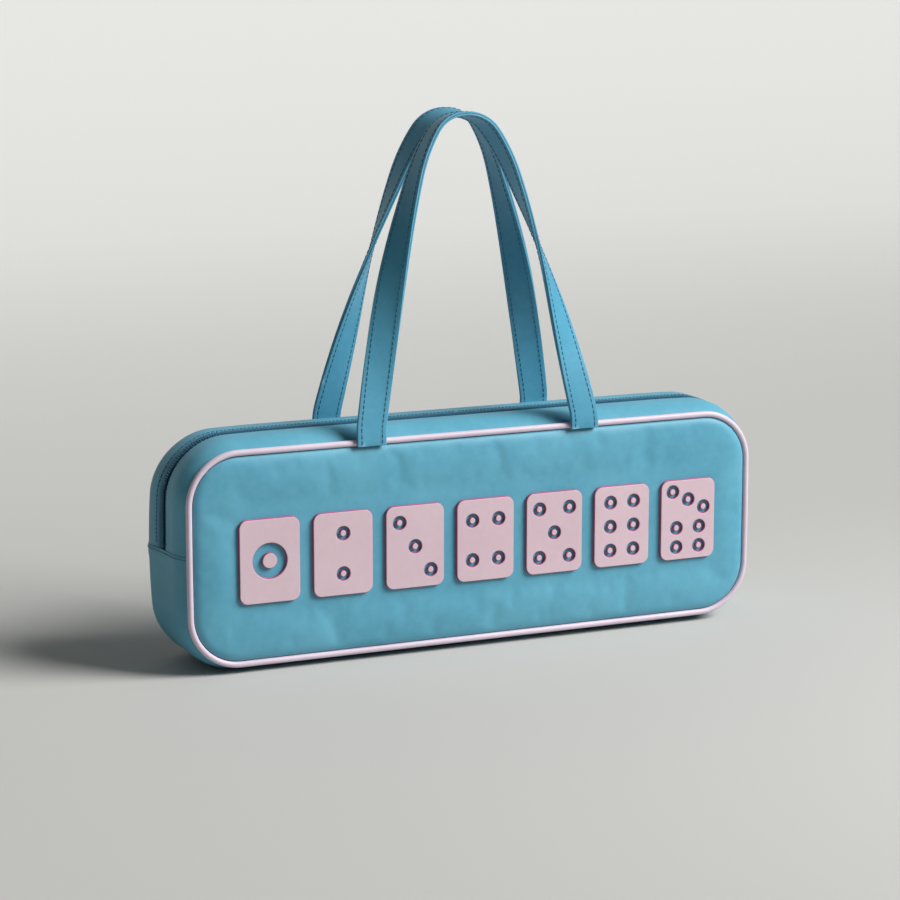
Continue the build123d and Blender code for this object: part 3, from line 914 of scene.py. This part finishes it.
def discs(places, radius, depth, name):
    """Discs at these places in millimetres, with their tops at height 0, as one object."""
    made = []
    for x, y in places:
        bpy.ops.mesh.primitive_cylinder_add(
            vertices=48, radius=radius, depth=depth, location=(x * MM, y * MM, -depth / 2)
        )
        made.append(bpy.context.object)
        bpy.ops.object.transform_apply(location=True, rotation=True, scale=True)
    return join(made, name)


def tile_layer(count, face, thick, grow, edge, material, slot, name, node):
    """One layer of a patch, its pips cut out as rings, with its edges rounded.

    It is made lying flat, `grow` larger all round than the tile, and then stood up at its face.
    """
    radius = BIG_PIP_R if count == 1 else PIP_R
    bpy.ops.mesh.primitive_plane_add(size=1)
    piece = bpy.context.object
    piece.name = name
    edit(
        piece,
        lambda: bpy.ops.transform.resize(value=(TILE_W + 2 * grow, TILE_H + 2 * grow, 1)),
        lambda: bpy.ops.mesh.bevel(offset=TILE_ROUND + grow, segments=10, affect="VERTICES"),
    )
    modify(piece, "SOLIDIFY", thickness=thick, offset=-1.0)
    cutter = discs(PIPS[count], radius - grow, 3 * thick, "pip_cutter")
    edit(cutter, lambda: bpy.ops.transform.translate(value=(0, 0, thick)))
    modify(piece, "BOOLEAN", object=cutter, operation="DIFFERENCE", solver="EXACT")
    bpy.data.objects.remove(cutter)
    cores = discs(PIPS[count], radius * PIP_CORE + grow, thick, "pip_cores")
    piece = join([piece, cores], name)
    round_edges(piece, edge, 3, 50)
    middle_x = TILE_X + (count - 4) * TILE_PITCH
    for vertex in piece.data.vertices:
        x, y, z = vertex.co
        vertex.co = Vector((middle_x + x, -face - z, TILE_Z + y))
    outward(piece)
    smooth(piece, 40)
    modify(piece, "WEIGHTED_NORMAL", keep_sharp=True)
    finish_piece(piece, material, slot, "case", node)


for count in PIPS:
    tile_layer(count, PANEL_FACE + BACKING_T, BACKING_T + 0.3 * MM, 0.25 * MM, 0.25 * MM, BACKING,
               "patch_backing", f"tile_{count}_backing", f"tile_backing_{count}")
    tile_layer(count, PANEL_FACE + BACKING_T + FACE_T, FACE_T, -0.15 * MM, 0.45 * MM, PATCH,
               "patch_face", f"tile_{count}_face", f"tile_patch_{count}")

# ---- parts that show as they are in the frame -----------------------------------------------------------
for node in ("zip_slider", "zip_pull", "zip_stops", "base_board"):
    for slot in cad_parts[node].material_slots:
        slot.material = ENAMEL

# ---- floor, lights and camera ---------------------------------------------------------------------------
FLOOR_COLOUR = (190, 189, 185)
FLOOR_CURVE = 2.2  # the floor curves up into a backdrop from here on
FAR_GLOW = (0.3, 3.5, 0.28)  # the far part's glow: where it starts and is full, and its strength
LOOK_AT = Vector((-26.54, -42.0, 171.5)) * MM
CAMERA_TURN, CAMERA_RISE, CAMERA_FAR = radians(-23.62), radians(11.32), 2.3277


def pale(colour):
    """A matt floor whose far part is lit up for the camera alone, so that the backdrop stays pale."""
    material = bpy.data.materials.new("pale floor")
    material.use_nodes = True
    tree = material.node_tree
    shader = tree.nodes["Principled BSDF"]
    shader.inputs["Base Color"].default_value = (*linear(colour), 1)
    shader.inputs["Roughness"].default_value = 0.9
    shader.inputs["Emission Color"].default_value = (1, 1, 1, 1)
    place = tree.nodes.new("ShaderNodeTexCoord")
    split = tree.nodes.new("ShaderNodeSeparateXYZ")
    far = tree.nodes.new("ShaderNodeMapRange")
    for label, value in zip(("From Min", "From Max", "To Max"), FAR_GLOW):
        far.inputs[label].default_value = value
    seen = tree.nodes.new("ShaderNodeLightPath")
    tree.links.new(place.outputs["Object"], split.inputs[0])
    tree.links.new(split.outputs["Y"], far.inputs["Value"])
    glow = calc(tree, "MULTIPLY", far.outputs["Result"], seen.outputs["Is Camera Ray"])
    tree.links.new(glow, shader.inputs["Emission Strength"])
    return material


def aim(thing, target, far, turn, rise):
    """Stand something this far from the target, at this angle round and up, and point it there."""
    back = Vector((sin(turn) * cos(rise), -cos(turn) * cos(rise), sin(rise)))
    thing.location = target + back * far
    thing.rotation_euler = (-back).to_track_quat("-Z", "Y").to_euler()


def light(name, kind, strength):
    bpy.ops.object.light_add(type=kind)
    lamp = bpy.context.object
    lamp.name = name
    lamp.data.energy = strength
    return lamp


floor = flat_cut("floor", (-5, -4), (5, 9), (1, 0.5))
for vertex in floor.data.vertices:
    vertex.co.z = 0.5 * max(0.0, vertex.co.y - FLOOR_CURVE) ** 2
smooth(floor, 80)
floor.data.materials.append(pale(FLOOR_COLOUR))

bpy.ops.object.camera_add()
camera = bpy.context.object
camera.data.sensor_width = 36
camera.data.lens = 112
camera.data.dof.use_dof = False
aim(camera, LOOK_AT, CAMERA_FAR, CAMERA_TURN, CAMERA_RISE)
bpy.context.scene.camera = camera

key_light = light("key light", "SUN", 3.7)
key_light.data.angle = radians(32)
aim(key_light, Vector((0, 0, 0.12)), 3, radians(57), radians(40))
soft_box = light("soft box", "AREA", 6)
soft_box.data.size = 0.6
aim(soft_box, Vector((0.24, 0, 0.2)), 1.1, radians(30), radians(34))

world = bpy.data.worlds.new("pale room")
world.use_nodes = True
world.node_tree.nodes["Background"].inputs["Color"].default_value = (0.76, 0.91, 1, 1)
world.node_tree.nodes["Background"].inputs["Strength"].default_value = 0.09
bpy.context.scene.world = world
bpy.context.scene.view_settings.view_transform = "Standard"
